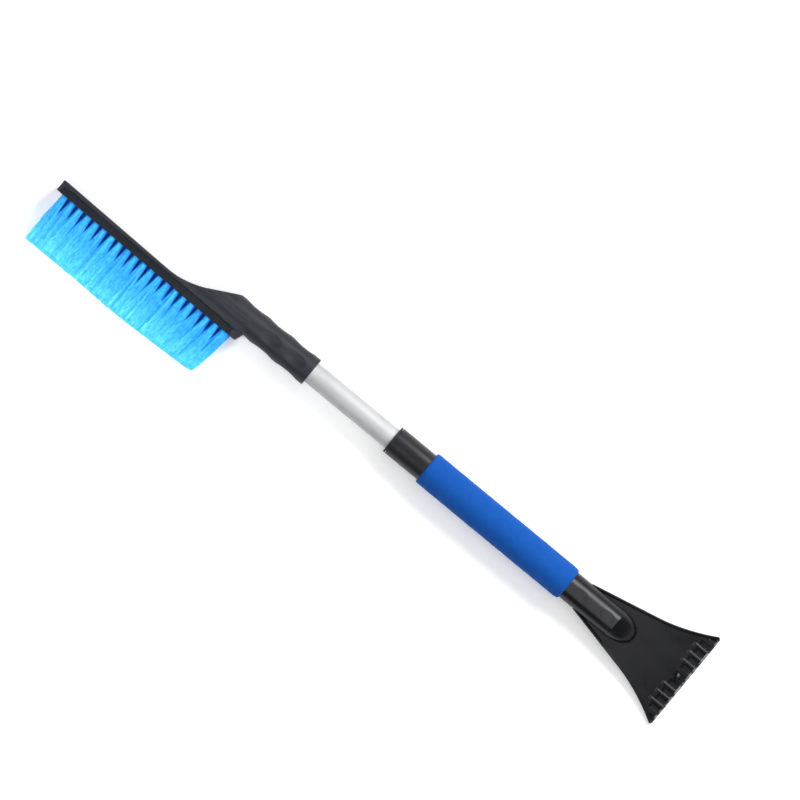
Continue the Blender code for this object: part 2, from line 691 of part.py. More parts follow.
def make_tuft(name, x, side):
    """A bundle of fibres: round in its hole, then fanning out to an upright oval at its tip."""
    share = (x - TUFT_FIRST_X) / (TUFT_LAST_X - TUFT_FIRST_X)
    lean = TUFT_LEAN_LEFT + (TUFT_LEAN_RIGHT - TUFT_LEAN_LEFT) * share
    root = block_bottom_y(x)
    tip = TUFT_TIP_LEFT_Y + (TUFT_TIP_RIGHT_Y - TUFT_TIP_LEFT_Y) * share
    rings = [tuft_ring(x, root + TUFT_HOLE_DEPTH - GAP, side * ROW_Z, TUFT_ROOT_R, TUFT_ROOT_R),
             tuft_ring(x, root - 0.5 * MM, side * ROW_Z, TUFT_ROOT_R, TUFT_ROOT_R)]
    tip_half_z = (TUFT_SPREAD_Z - TUFT_ROW_GAP) / 2
    tip_centre = (TUFT_SPREAD_Z + TUFT_ROW_GAP) / 2
    for t in (0.35, 0.7, 0.94, 1.0):
        fan = min(1.0, t / 0.5) ** 0.8
        shrink = 0.72 if t == 1.0 else 1.0
        half_x = TUFT_ROOT_R + (TUFT_SPREAD_X - TUFT_ROOT_R) * fan
        half_z = TUFT_ROOT_R + (tip_half_z - TUFT_ROOT_R) * t ** 0.8
        centre = ROW_Z + (tip_centre - ROW_Z) * t ** 0.8
        rings.append(tuft_ring(x + lean * t ** 1.3, root + (tip - root) * t, side * centre,
                               half_x * shrink, half_z * shrink))
    publish(loft("tuft", rings), name, BLUE_BRISTLE, BRUSH)


clear_scene()
PARTS = new_collection("snow_brush_scraper")
CUTTERS = new_collection("cutters")
HANDLE = new_empty("handle_frame", None, (AXIS_X, AXIS_Y, AXIS_Z))
SLIDER = new_empty("telescope_slide", HANDLE, (0.0, 0.0, 0.0))
BRUSH = new_empty("twist_axis", SLIDER, (0.0, 0.0, 0.0))

make_outer_tube()
make_foam_grip()
make_guide_bush()
make_scraper()
make_blade_pins()
make_inner_tube()
make_lock_plug()
make_plug_pin()
make_lock_ring()
make_lock_fastener()
make_brush_head()
make_head_screw()
make_bristle_strip()
for tuft_name, tuft_x, tuft_side in tuft_rows():
    make_tuft(tuft_name, tuft_x, tuft_side)
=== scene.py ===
"""Looks of the telescopic snow brush with an ice scraper.

Every shape here is made in the handle's own frame, in millimetres: X runs along the tube axis from the
outer tube's mouth towards the scraper, Y points away from the bristles and Z is up. publish() puts it in
the tool's frame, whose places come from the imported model's boxes.
"""

import math

import bmesh
import bpy
import numpy as np
from mathutils import Euler, Matrix, Vector


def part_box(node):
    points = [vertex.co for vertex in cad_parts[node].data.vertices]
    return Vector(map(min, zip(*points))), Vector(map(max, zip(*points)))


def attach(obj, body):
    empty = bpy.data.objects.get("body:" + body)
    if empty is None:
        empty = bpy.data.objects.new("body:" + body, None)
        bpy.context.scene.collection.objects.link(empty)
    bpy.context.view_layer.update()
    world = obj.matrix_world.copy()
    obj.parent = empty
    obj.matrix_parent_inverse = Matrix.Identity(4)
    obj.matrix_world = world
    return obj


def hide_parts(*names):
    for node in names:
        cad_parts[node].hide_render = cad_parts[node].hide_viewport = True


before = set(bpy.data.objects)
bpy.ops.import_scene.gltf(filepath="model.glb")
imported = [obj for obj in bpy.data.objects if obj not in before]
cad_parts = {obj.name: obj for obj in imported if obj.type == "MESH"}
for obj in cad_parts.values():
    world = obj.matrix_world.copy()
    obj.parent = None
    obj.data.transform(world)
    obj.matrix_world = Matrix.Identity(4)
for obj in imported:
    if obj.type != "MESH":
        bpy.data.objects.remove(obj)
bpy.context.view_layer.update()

MM = 0.001


# Places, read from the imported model

def span(node):
    """A node's lowest and highest corners in the handle's frame, in millimetres."""
    low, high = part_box(node)
    return (low - AXIS_ORIGIN) / MM, (high - AXIS_ORIGIN) / MM


TUBE_LOW, TUBE_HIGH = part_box("outer_tube")
AXIS_ORIGIN = Vector((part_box("guide_bush")[0].x, (TUBE_LOW.y + TUBE_HIGH.y) / 2,
                      (TUBE_LOW.z + TUBE_HIGH.z) / 2))
TO_TOOL = Matrix.Translation(AXIS_ORIGIN) @ Matrix.Scale(MM, 4)

BUSH_HIGH = span("guide_bush")[1]
OUTER_LOW, OUTER_HIGH = span("outer_tube")
INNER_LOW, INNER_HIGH = span("inner_tube")
GRIP_LOW, GRIP_HIGH = span("foam_grip")
HEAD_LOW, HEAD_HIGH = span("brush_head")
STRIP_LOW, STRIP_HIGH = span("bristle_strip")
BLADE_LOW, BLADE_HIGH = span("scraper_blade")
SCREW_LOW, SCREW_HIGH = span("head_screw")

OUTER_R = OUTER_HIGH.z
INNER_R = INNER_HIGH.z
GRIP_R = GRIP_HIGH.z
NECK_R = HEAD_HIGH.z
TUBE_BORE_R = 12.2
INNER_BORE_R = 9.3
BUSH_FLANGE_X = 2.0
GAP = 0.3
SEAM = 0.12
CUT_REACH = 30.0


# Mesh helpers

def mesh_object(name, points, faces):
    mesh = bpy.data.meshes.new(name)
    mesh.from_pydata([tuple(p) for p in points], [], [tuple(f) for f in faces])
    mesh.validate()
    obj = bpy.data.objects.new(name, mesh)
    bpy.context.scene.collection.objects.link(obj)
    face_out(obj)
    return obj


def face_out(obj):
    shape = bmesh.new()
    shape.from_mesh(obj.data)
    bmesh.ops.recalc_face_normals(shape, faces=shape.faces)
    if shape.calc_volume(signed=True) < 0:
        bmesh.ops.reverse_faces(shape, faces=shape.faces)
    shape.to_mesh(obj.data)
    shape.free()


def grid_faces(rows, columns, closed):
    """Quads over a grid of points; a closed grid's last column joins its first."""
    faces = []
    for i in range(rows - 1):
        for j in range(columns if closed else columns - 1):
            k = (j + 1) % columns
            faces.append((i * columns + j, i * columns + k, (i + 1) * columns + k, (i + 1) * columns + j))
    return faces


def skin(name, rings):
    """A closed body over rings of equal count, with a flat fan over each end."""
    rings = np.asarray(rings, float)
    rows, columns = rings.shape[:2]
    faces = grid_faces(rows, columns, True)
    ends = [rings[0].mean(0), rings[-1].mean(0)]
    first, last = rows * columns, rows * columns + 1
    for j in range(columns):
        k = (j + 1) % columns
        faces.append((k, j, first))
        faces.append(((rows - 1) * columns + j, (rows - 1) * columns + k, last))
    return mesh_object(name, np.vstack([rings.reshape(-1, 3), ends]), faces)


def ring_body(name, profile, sides=128):
    """A ring turned about X from a closed loop of (x, radius) points."""
    angles = np.linspace(0, 2 * math.pi, sides, endpoint=False)
    rings = np.asarray([[(x, r * math.cos(a), r * math.sin(a)) for a in angles] for x, r in profile])
    rows = len(profile)
    faces = []
    for i in range(rows):
        for j in range(sides):
            k = (j + 1) % sides
            n = (i + 1) % rows
            faces.append((i * sides + j, i * sides + k, n * sides + k, n * sides + j))
    return mesh_object(name, rings.reshape(-1, 3), faces)


def rounded(profile, radii, steps=5):
    """A closed loop with each corner replaced by an arc of its radius; 0 keeps the corner."""
    out = []
    count = len(profile)
    for i, (corner, radius) in enumerate(zip(profile, radii)):
        corner = Vector(corner)
        if not radius:
            out.append(tuple(corner))
            continue
        before = (Vector(profile[i - 1]) - corner).normalized()
        after = (Vector(profile[(i + 1) % count]) - corner).normalized()
        half = before.angle(after) / 2
        reach = radius / math.tan(half)
        centre = corner + (before + after).normalized() * (radius / math.sin(half))
        first = corner + before * reach - centre
        last = corner + after * reach - centre
        for k in range(steps + 1):
            direction = first.lerp(last, k / steps).normalized()
            out.append(tuple(centre + direction * radius))
    return out


def slab(name, s_values, t_values, plan, heights):
    """A closed plate over a grid: plan(s, t) gives X and Y, heights(X, Y, s, t) gives top and bottom Z."""
    s, t = np.meshgrid(np.asarray(s_values, float), np.asarray(t_values, float), indexing="ij")
    x, y = plan(s, t)
    top, bottom = heights(x, y, s, t)
    rows, columns = s.shape
    count = rows * columns
    points = np.vstack([np.stack([x, y, z], -1).reshape(-1, 3) for z in (top, bottom)])
    upper = grid_faces(rows, columns, False)
    faces = upper + [tuple(count + v for v in reversed(face)) for face in upper]
    border = list(range(columns))
    border += [i * columns + columns - 1 for i in range(1, rows)]
    border += [(rows - 1) * columns + j for j in range(columns - 2, -1, -1)]
    border += [i * columns for i in range(rows - 2, 0, -1)]
    for a, b in zip(border, border[1:] + border[:1]):
        faces.append((a, b, count + b, count + a))
    return mesh_object(name, points, faces)


def steps_between(start, end, spacing, fine=(), reach=1.2, fine_spacing=0.2):
    """Values from start to end, closer together within reach of each of the fine places."""
    values = [start]
    while values[-1] < end - 1e-9:
        near = any(abs(values[-1] + 1e-6 - place) < reach for place in fine)
        step = fine_spacing if near else spacing
        if not near:
            ahead = [place - reach - values[-1] for place in fine if place - reach > values[-1] + 1e-6]
            if ahead:
                step = min([step] + ahead)
        values.append(min(end, values[-1] + max(step, 1e-3)))
    return values


def round_over(height, distance, radius):
    """Lower a height near an outer edge by a quarter round."""
    inside = np.clip(distance / radius, 0.0, 1.0)
    return height - radius * (1 - np.sqrt(1 - (1 - inside) ** 2))


def smooth_step(value, low, high):
    k = np.clip((value - low) / (high - low), 0.0, 1.0)
    return k * k * (3 - 2 * k)


def oval(x, angles, station, facing, radius, half_length, half_width):
    """An oval on a cylinder about X: 1 at its middle, falling to 0 at its edge and beyond."""
    across = ((angles - facing + math.pi) % (2 * math.pi) - math.pi) * radius
    return np.clip(1 - ((x - station) / half_length) ** 2 - (across / half_width) ** 2, 0, 1)


def combine(body, tool, operation):
    boolean = body.modifiers.new("combine", "BOOLEAN")
    boolean.operation = operation
    boolean.solver = "MANIFOLD"
    boolean.object = tool
    bpy.context.view_layer.update()
    graph = bpy.context.evaluated_depsgraph_get()
    mesh = bpy.data.meshes.new_from_object(body.evaluated_get(graph))
    old = body.data
    body.modifiers.clear()
    body.data = mesh
    bpy.data.meshes.remove(old)
    bpy.data.objects.remove(tool, do_unlink=True)
    return body


def join(body, tool):
    return combine(body, tool, "UNION")


def cut(body, tool):
    return combine(body, tool, "DIFFERENCE")


def rod(start, end, radius, sides=48):
    start, end = Vector(start), Vector(end)
    turn = (end - start).to_track_quat("Z", "Y").to_matrix()
    rings = []
    for centre in (start, end):
        rings.append([centre + turn @ Vector((radius * math.cos(a), radius * math.sin(a), 0))
                      for a in np.linspace(0, 2 * math.pi, sides, endpoint=False)])
    return skin("rod", rings)


def prism(outline, low, high):
    """A plan outline between two heights."""
    count = len(outline)
    points = [(x, y, low) for x, y in outline] + [(x, y, high) for x, y in outline]
    faces = [tuple(reversed(range(count))), tuple(range(count, 2 * count))]
    faces += [(i, (i + 1) % count, count + (i + 1) % count, count + i) for i in range(count)]
    return mesh_object("prism", points, faces)


def publish(obj, name, body, node, look, sharp=32.0):
    """Place a finished shape in the tool's frame, name it, give it its look, put it under its body and hide
    the imported node it replaces.
    """
    obj.data.transform(TO_TOOL)
    obj.name = name
    obj.data.name = name
    obj.data.materials.clear()
    obj.data.materials.append(look)
    obj.data.shade_smooth()
    if sharp:
        obj.data.set_sharp_from_angle(angle=math.radians(sharp))
    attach(obj, body)
    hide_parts(node)
    return obj


# Materials

# A Mix node has a socket of each name for every data type; these are the colour ones.
MIX_COLOUR_A, MIX_COLOUR_B, MIX_COLOUR_OUT = 6, 7, 2
# Painted reflection: colour, length and fade of the pale patches painted along the scraping edge's bevel.
PAINTED_GLEAM_COLOUR = (0.24, 0.25, 0.25)
PAINTED_GLEAM_LENGTH = 2.4
PAINTED_GLEAM_FADE = 0.8


class Look:
    """A Principled material with a short way to add nodes."""

    def __init__(self, name, colour, roughness, metallic=0.0, **sockets):
        self.material = bpy.data.materials.new(name)
        self.material.use_nodes = True
        self.tree = self.material.node_tree
        self.shader = self.tree.nodes["Principled BSDF"]
        self.shader.inputs["Base Color"].default_value = (*colour, 1.0)
        self.shader.inputs["Roughness"].default_value = roughness
        self.shader.inputs["Metallic"].default_value = metallic
        for socket, value in sockets.items():
            self.shader.inputs[socket.replace("_", " ")].default_value = value
        self.place = self.node("ShaderNodeTexCoord").outputs["Object"]

    def node(self, kind, **settings):
        made = self.tree.nodes.new(kind)
        for setting, value in settings.items():
            setattr(made, setting, value)
        return made

    def link(self, source, target):
        self.tree.links.new(source, target)

    def stretched(self, scale):
        """Object coordinates times a scale for each axis."""
        mapping = self.node("ShaderNodeMapping")
        mapping.inputs["Scale"].default_value = scale
        self.link(self.place, mapping.inputs["Vector"])
        return mapping.outputs["Vector"]

    def noise(self, scale, detail=3.0, roughness=0.5, stretch=(1, 1, 1)):
        made = self.node("ShaderNodeTexNoise")
        made.inputs["Scale"].default_value = scale
        made.inputs["Detail"].default_value = detail
        made.inputs["Roughness"].default_value = roughness
        self.link(self.stretched(stretch), made.inputs["Vector"])
        return made.outputs["Fac"]

    def mapped(self, value, low, high, to_low, to_high):
        made = self.node("ShaderNodeMapRange")
        self.link(value, made.inputs["Value"])
        ends = {"From Min": low, "From Max": high, "To Min": to_low, "To Max": to_high}
        for socket, number in ends.items():
            made.inputs[socket].default_value = number
        return made.outputs["Result"]

    def mixed(self, factor, first, second):
        """A colour between two: each a colour or another node's output."""
        made = self.node("ShaderNodeMix", data_type="RGBA")
        self.link(factor, made.inputs["Factor"])
        for socket, value in zip((made.inputs[MIX_COLOUR_A], made.inputs[MIX_COLOUR_B]), (first, second)):
            if isinstance(value, tuple):
                socket.default_value = (*value, 1.0)
            else:
                self.link(value, socket)
        return made.outputs[MIX_COLOUR_OUT]

    def bump(self, height, distance, strength=1.0, under=None):
        made = self.node("ShaderNodeBump")
        made.inputs["Distance"].default_value = distance
        made.inputs["Strength"].default_value = strength
        self.link(height, made.inputs["Height"])
        if under:
            self.link(under, made.inputs["Normal"])
        return made.outputs["Normal"]

    def set(self, socket, value):
        self.link(value, self.shader.inputs[socket])


def moulded_plastic(name, colour, roughness, grain, dust, gloss, gleam_from=None):
    """Black moulding: a fine spark-eroded grain, faint flow marks and a little dust on it.

    Beyond the place given as its last argument, along X in the tool's frame, the surface is painted pale in
    patches: a painted reflection of the scraping edge's bevel.
    """
    look = Look(name, colour, roughness, Specular_IOR_Level=gloss)
    fine = look.noise(1500.0, 2.0, 0.6)
    flow = look.noise(28.0, 3.0, 0.55, (1.0, 2.2, 2.2))
    specks = look.noise(420.0, 4.0, 0.75)
    look.set("Roughness", look.mapped(flow, 0.3, 0.7, roughness - 0.05, roughness + 0.08))
    pale = tuple(min(1.0, c * 2.1 + 0.006) for c in colour)
    speckled = look.mapped(specks, 0.62, 0.78, 0.0, dust)
    shade = look.mixed(speckled, colour, pale)
    # Painted reflection: the bevel's gleam painted on as pale patches beyond the given place.
    if gleam_from is not None:
        axes = look.node("ShaderNodeSeparateXYZ")
        look.link(look.place, axes.inputs["Vector"])
        gleaming = look.mapped(axes.outputs["X"], gleam_from, gleam_from + PAINTED_GLEAM_FADE * MM, 0.0, 1.0)
        patchy = look.mapped(look.noise(150.0, 2.0, 0.6), 0.48, 0.60, 0.0, 1.0)
        gleam_patches = look.mixed(patchy, colour, PAINTED_GLEAM_COLOUR)
        shade = look.mixed(gleaming, shade, gleam_patches)
    look.set("Base Color", shade)
    soft = look.bump(flow, 0.00025, 0.25)
    look.set("Normal", look.bump(fine, 0.00004, grain, soft))
    return look.material


def foam():
    """Closed-cell foam: a matte skin of tiny cells, with soft mottling."""
    look = Look("blue_foam", (0.008, 0.075, 0.340), 0.82,
                Specular_IOR_Level=0.2, Sheen_Weight=0.05, Sheen_Roughness=0.5)
    look.shader.inputs["Sheen Tint"].default_value = (0.30, 0.60, 1.0, 1.0)
    cells = look.node("ShaderNodeTexVoronoi")
    cells.inputs["Scale"].default_value = 1300.0
    look.link(look.place, cells.inputs["Vector"])
    mottle = look.noise(120.0, 4.0, 0.6)
    grain = look.noise(2200.0, 3.0, 0.7)
    grainy = look.mapped(grain, 0.35, 0.7, 0.0, 1.0)
    shade = look.mixed(grainy, (0.0005, 0.056, 0.285), (0.002, 0.089, 0.395))
    mottled = look.mapped(mottle, 0.35, 0.65, 0.0, 0.35)
    look.set("Base Color", look.mixed(mottled, shade, (0.001, 0.060, 0.297)))
    look.set("Roughness", look.mapped(mottle, 0.3, 0.7, 0.78, 0.90))
    pits = look.bump(cells.outputs["Distance"], 0.00018, 0.55)
    look.set("Normal", look.bump(mottle, 0.0006, 0.25, pits))
    return look.material


def satin_aluminium():
    """Drawn and anodised tube: fine lines along it and a soft sheen."""
    look = Look("satin_aluminium", (0.47, 0.48, 0.49), 0.56, 0.6)
    lines = look.noise(900.0, 3.0, 0.6, (0.02, 1.0, 1.0))
    cloud = look.noise(60.0, 3.0, 0.5)
    look.set("Roughness", look.mapped(lines, 0.3, 0.7, 0.60, 0.72))
    clouded = look.mapped(cloud, 0.3, 0.7, 0.0, 1.0)
    look.set("Base Color", look.mixed(clouded, (0.43, 0.44, 0.445), (0.49, 0.50, 0.505)))
    look.set("Normal", look.bump(lines, 0.00004, 0.35))
    return look.material


def metal(name, colour, roughness):
    """Plated steel hardware with fine turning marks."""
    look = Look(name, colour, roughness, 1.0)
    marks = look.noise(1400.0, 2.0, 0.6)
    look.set("Roughness", look.mapped(marks, 0.3, 0.7, roughness - 0.06, roughness + 0.10))
    look.set("Normal", look.bump(marks, 0.00003, 0.3))
    return look.material


def nylon():
    """Unfilled nylon: milky, with a faint grain."""
    look = Look("natural_nylon", (0.74, 0.73, 0.68), 0.45, Specular_IOR_Level=0.4)
    grain = look.noise(700.0, 3.0, 0.6)
    look.set("Base Color", look.mixed(grain, (0.70, 0.69, 0.63), (0.80, 0.79, 0.75)))
    look.set("Normal", look.bump(grain, 0.00005, 0.4))
    return look.material


def bristle():
    """Crimped fibres with a painted glow: painted shade turns them navy at the lower row's roots and the
    upper row's outer sides, and they are paler towards their tips.
    """
    # Painted glow: the fibres emit their own colour, standing in for light passing through the nylon.
    look = Look("blue_bristle", (0.08, 0.45, 1.0), 0.42, Specular_IOR_Level=0.3, Emission_Strength=0.22)
    data = look.node("ShaderNodeAttribute", attribute_name="fibre")
    parts = look.node("ShaderNodeSeparateColor")
    look.link(data.outputs["Color"], parts.inputs["Color"])
    along, own, painted_shade = (parts.outputs[channel] for channel in ("Red", "Green", "Blue"))
    mottle = look.noise(330.0, 4.0, 0.65, (1.3, 0.7, 1.3))
    pale = look.mixed(look.mapped(mottle, 0.38, 0.62, 0.0, 0.7), own, (1.0, 1.0, 1.0))
    pale = look.mixed(look.mapped(mottle, 0.50, 0.34, 0.0, 0.8), pale, (0.0, 0.0, 0.0))
    body = look.mixed(pale, (0.018, 0.330, 0.960), (0.070, 0.540, 1.000))
    tip = look.mixed(pale, (0.040, 0.520, 0.900), (0.180, 0.820, 1.000))
    colour = look.mixed(look.mapped(along, 0.45, 1.0, 0.0, 1.0), body, tip)
    # Painted shade: navy mixed in where the fibre data marks a ring as shaded.
    colour = look.mixed(painted_shade, colour, (0.000, 0.070, 0.340))
    look.set("Base Color", colour)
    # Painted glow in the fibres' own colour.
    look.set("Emission Color", colour)
    crimp = look.noise(1800.0, 2.0, 0.5)
    look.set("Roughness", look.mapped(crimp, 0.3, 0.7, 0.36, 0.52))
    return look.material


# Each plastic: colour, roughness, grain, dust and gloss.
HEAD_PLASTIC = moulded_plastic("head_plastic", (0.0115, 0.0145, 0.0205), 0.50, 0.55, 0.4, 0.27)
STRIP_PLASTIC = moulded_plastic("strip_plastic", (0.0055, 0.0080, 0.0125), 0.40, 0.4, 0.3, 0.20)
TUBE_PLASTIC = moulded_plastic("tube_plastic", (0.009, 0.009, 0.012), 0.36, 0.25, 0.35, 0.3)
# The blade's scraping edge carries the painted reflection.
BLADE_PLASTIC = moulded_plastic("blade_plastic", (0.0036, 0.0038, 0.0054), 0.28, 0.30, 0.2, 0.25,
                                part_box("scraper_blade")[1].x - PAINTED_GLEAM_LENGTH * MM)
FOAM = foam()
ALUMINIUM = satin_aluminium()
STEEL = metal("plated_steel", (0.56, 0.57, 0.58), 0.30)
NYLON = nylon()
BRISTLE = bristle()


# Tubes and grip

def make_outer_tube():
    low, high = OUTER_LOW.x, OUTER_HIGH.x
    loop = [(high, OUTER_R), (low, OUTER_R), (low, TUBE_BORE_R), (high, TUBE_BORE_R)]
    body = ring_body("outer_tube", rounded(loop, (0.3, 0.15, 0.2, 0.2), 3))
    publish(body, "outer_tube_shell", "handle", "outer_tube", TUBE_PLASTIC)


def make_guide_bush():
    """The bush in the tube's mouth, whose flange shows as a thin rounded collar."""
    sleeve, bore = TUBE_BORE_R - 0.2, INNER_R + 0.2
    loop = [(BUSH_HIGH.x, sleeve), (BUSH_FLANGE_X, sleeve), (BUSH_FLANGE_X, OUTER_R), (0.0, OUTER_R),
            (0.0, bore), (BUSH_HIGH.x, bore)]
    body = ring_body("bush", rounded(loop, (0.2, 0, 0.15, 0.7, 0.5, 0.3), 4))
    publish(body, "guide_bush_collar", "handle", "guide_bush", HEAD_PLASTIC)


def make_inner_tube():
    loop = [(INNER_HIGH.x, INNER_R), (INNER_LOW.x, INNER_R), (INNER_LOW.x, INNER_BORE_R),
            (INNER_HIGH.x, INNER_BORE_R)]
    body = ring_body("inner", rounded(loop, (0.3, 0.3, 0.3, 0.3), 3))
    publish(body, "inner_tube_shell", "brush", "inner_tube", ALUMINIUM)


GRIP_SINK = 0.12
GRIP_SWELL = 0.02
SWELL_PACES = (0.05, 0.11, 0.19, 0.27, 0.41, 0.6)
SWELL_LOBES = (1, 2, 1, 3, 2, 4)


def make_foam_grip():
    """A foam sleeve: square-cut at the tube end, rounded over at the scraper end, never quite true."""
    low, high = GRIP_LOW.x, GRIP_HIGH.x
    bore = OUTER_R + GAP
    loop = [(high, bore), (high - 0.35, bore + 1.0), (high - 1.3, GRIP_R - 0.75), (high - 2.8, GRIP_R - 0.3)]
    loop += [(float(x), GRIP_R - GRIP_SINK) for x in np.arange(high - 5.0, low + 3.0, -1.0)]
    loop += [(low + 1.7, GRIP_R - 0.2), (low + 0.7, GRIP_R - 0.55), (low + 0.15, GRIP_R - 1.1), (low, bore)]
    body = ring_body("grip", loop, 160)
    rng = np.random.default_rng(4)
    phases = rng.uniform(0, 2 * math.pi, len(SWELL_PACES))
    points = np.empty(len(body.data.vertices) * 3)
    body.data.vertices.foreach_get("co", points)
    points = points.reshape(-1, 3)
    x, angle = points[:, 0], np.arctan2(points[:, 2], points[:, 1])
    swell = sum(GRIP_SWELL * np.sin(x * pace + angle * lobes + phase)
                for pace, lobes, phase in zip(SWELL_PACES, SWELL_LOBES, phases))
    radius = np.hypot(points[:, 1], points[:, 2])
    push = np.where(radius > bore + 0.3, 1 + swell / radius, 1.0)
    points[:, 1] *= push
    points[:, 2] *= push
    body.data.vertices.foreach_set("co", points.reshape(-1))
    grip = publish(body, "foam_grip_sleeve", "handle", "foam_grip", FOAM, 0)


# Scraper

BLADE_START_X = 222.0
BLADE_FLARE_X = 287.0
BLADE_ROOT_HALF_WIDTH = 14.4
BLADE_SIDE_SLOPE = 0.2185
BLADE_FLARE = 0.00325
BLADE_EDGE_X = BLADE_HIGH.x
BLADE_HALF_WIDTH = BLADE_HIGH.y
BLADE_THICKNESS = 3.0
BLADE_CORNER_R = 2.5
BLADE_SLOPE = math.tan(math.radians(7.3))
BLADE_ROOT_Z = 1.0
RIM_WIDTH = 2.2
RIM_HEIGHT = 0.8
RIB_PITCH = 9.0
RIB_WIDTH = 4.0
RIB_LENGTH = 14.2
RIB_HEIGHT = 0.76
POCKET_LENGTH = 9.5
POCKET_DEPTH = 0.9
BUMP_INSET = 9.0
BUMP_HEIGHT = 2.2
BUMP_HALF_LENGTH = 2.2
BUMP_HALF_WIDTH = 4.6
BUMP_Y = -2.6
NOTCH_DEPTH = 0.9
NOTCH_HALF_WIDTH = 0.6
EDGE_BEVEL = 2.0
EDGE_LAND = 0.6
PIN_CUT_REACH = 20.0
SPIGOT_BORE_R = 8.5
SPIGOT_BORE_DEPTH = 29.0
HUB_TOP_END_X = 260.4
HUB_NOSE_END_X = 282.4
NOSE_FALL = 0.55
HUB_MARKS_X = (219.0, 249.8)
MARK_HALF_LENGTH = 7.8
MARK_HALF_WIDTH = 4.7
MARK_DEPTH = 0.5


def blade_half_width(x):
    """Half the blade's width: straight sides, then a flare, then small round corners."""
    straight = BLADE_ROOT_HALF_WIDTH + (x - BLADE_START_X) * BLADE_SIDE_SLOPE
    beyond = np.maximum(x - BLADE_FLARE_X, 0.0)
    flare = straight + BLADE_FLARE * beyond ** 2
    corner = np.clip((x - (BLADE_EDGE_X - BLADE_CORNER_R)) / BLADE_CORNER_R, 0.0, 1.0)
    rounding = BLADE_CORNER_R * (1 - np.sqrt(1 - 0.98 * corner ** 2))
    return np.minimum(flare, BLADE_HALF_WIDTH) - rounding


def blade_plan(s, t):
    return s, t * blade_half_width(s)


def blade_heights(x, y, s, t):
    """The blade's top with its rim, ribs, pockets, bump and bevelled edge, and its plain underside."""
    middle = BLADE_ROOT_Z - (x - BLADE_START_X) * BLADE_SLOPE
    half = BLADE_THICKNESS / 2
    side = (blade_half_width(x) - np.abs(y)) * 0.93
    front = BLADE_EDGE_X - x
    field = half - RIM_HEIGHT * smooth_step(side, RIM_WIDTH - 1.2, RIM_WIDTH + 0.9)
    inner = smooth_step(side, RIM_WIDTH + 0.9, RIM_WIDTH + 1.9)
    to_rib = np.abs((y / RIB_PITCH) % 1.0 - 0.5) * RIB_PITCH
    ribbed = smooth_step(front, RIB_LENGTH + EDGE_BEVEL, RIB_LENGTH + EDGE_BEVEL - 1.2)
    rib = RIB_HEIGHT * np.clip((RIB_WIDTH / 2 - to_rib) / (RIB_WIDTH / 2 - 0.2), 0, 1) * ribbed
    rib = rib * (np.abs(y) > RIB_PITCH) * (np.abs(y) < 4 * RIB_PITCH) * inner
    sunk = smooth_step(front, POCKET_LENGTH + EDGE_BEVEL + 1.5, POCKET_LENGTH + EDGE_BEVEL - 0.5)
    sunk = sunk * smooth_step(front, EDGE_BEVEL + 0.1, EDGE_BEVEL + 1.0) * inner
    hollow = POCKET_DEPTH * smooth_step(to_rib, RIB_WIDTH / 2 - 0.2, RIB_WIDTH / 2 + 0.9) * sunk
    across_bump = np.clip(1.7 * (1 - ((front - BUMP_INSET) / BUMP_HALF_LENGTH) ** 2), 0, 1)
    bump = BUMP_HEIGHT * across_bump * np.clip(1 - np.abs(y - BUMP_Y) / BUMP_HALF_WIDTH, 0, 0.95)
    notch = NOTCH_DEPTH * np.exp(-(to_rib / NOTCH_HALF_WIDTH) ** 2) * smooth_step(front, EDGE_BEVEL, 0.3)
    lip = -half + EDGE_LAND + (BLADE_THICKNESS - EDGE_LAND) * np.clip(front / EDGE_BEVEL, 0, 1.5)
    top = np.minimum(field + rib - hollow + bump, lip) - notch
    top = round_over(np.maximum(top, -half + 0.35), side, 0.5)
    bottom = -round_over(np.full_like(x, half), side, 0.5)
    return middle + np.maximum(top, bottom + 0.2), middle + bottom


def make_blade():
    """The fan-shaped plate, with its grid closest together at the ribs and along the sides."""
    xs = steps_between(BLADE_START_X, BLADE_EDGE_X - POCKET_LENGTH - 6.0, 1.6)
    xs += steps_between(xs[-1], BLADE_EDGE_X, 0.35)[1:]
    edge = 1 - np.array([0.0, 0.002, 0.005, 0.010, 0.016, 0.024, 0.034, 0.044, 0.052, 0.060, 0.070, 0.085])
    inner = np.linspace(-0.90, 0.90, 241)
    ts = np.concatenate([-edge, inner, edge[::-1]])
    return slab("blade", xs, ts, blade_plan, blade_heights)


def hub_ring(x, radius, sides):
    """A section of the socket cylinder, sunk where a thumb mark crosses its top."""
    angles = np.linspace(0, 2 * math.pi, sides, endpoint=False)
    reach = np.ones(sides)
    for mark in HUB_MARKS_X:
        inside = oval(x, angles, mark, math.pi / 2, OUTER_R, MARK_HALF_LENGTH, MARK_HALF_WIDTH)
        reach -= MARK_DEPTH / OUTER_R * inside ** 0.8
    return np.stack([np.full(sides, x), radius * np.cos(angles) * reach,
                     radius * np.sin(angles) * reach], -1)


def nose_ring(x, half_width, centre, up, down, fullness, sides):
    """A section of the nose, from round at the hub to flat-topped with steep sides."""
    angles = np.linspace(0, 2 * math.pi, sides, endpoint=False)
    sine, cosine = np.sin(angles), np.cos(angles)
    power = np.where(sine > 0, 2 / fullness, 1.0)
    across = half_width * np.sign(cosine) * np.abs(cosine) ** power
    height = np.where(sine > 0, up, down) * np.sign(sine) * np.abs(sine) ** power
    return np.stack([np.full(sides, x), across, centre + height], -1)


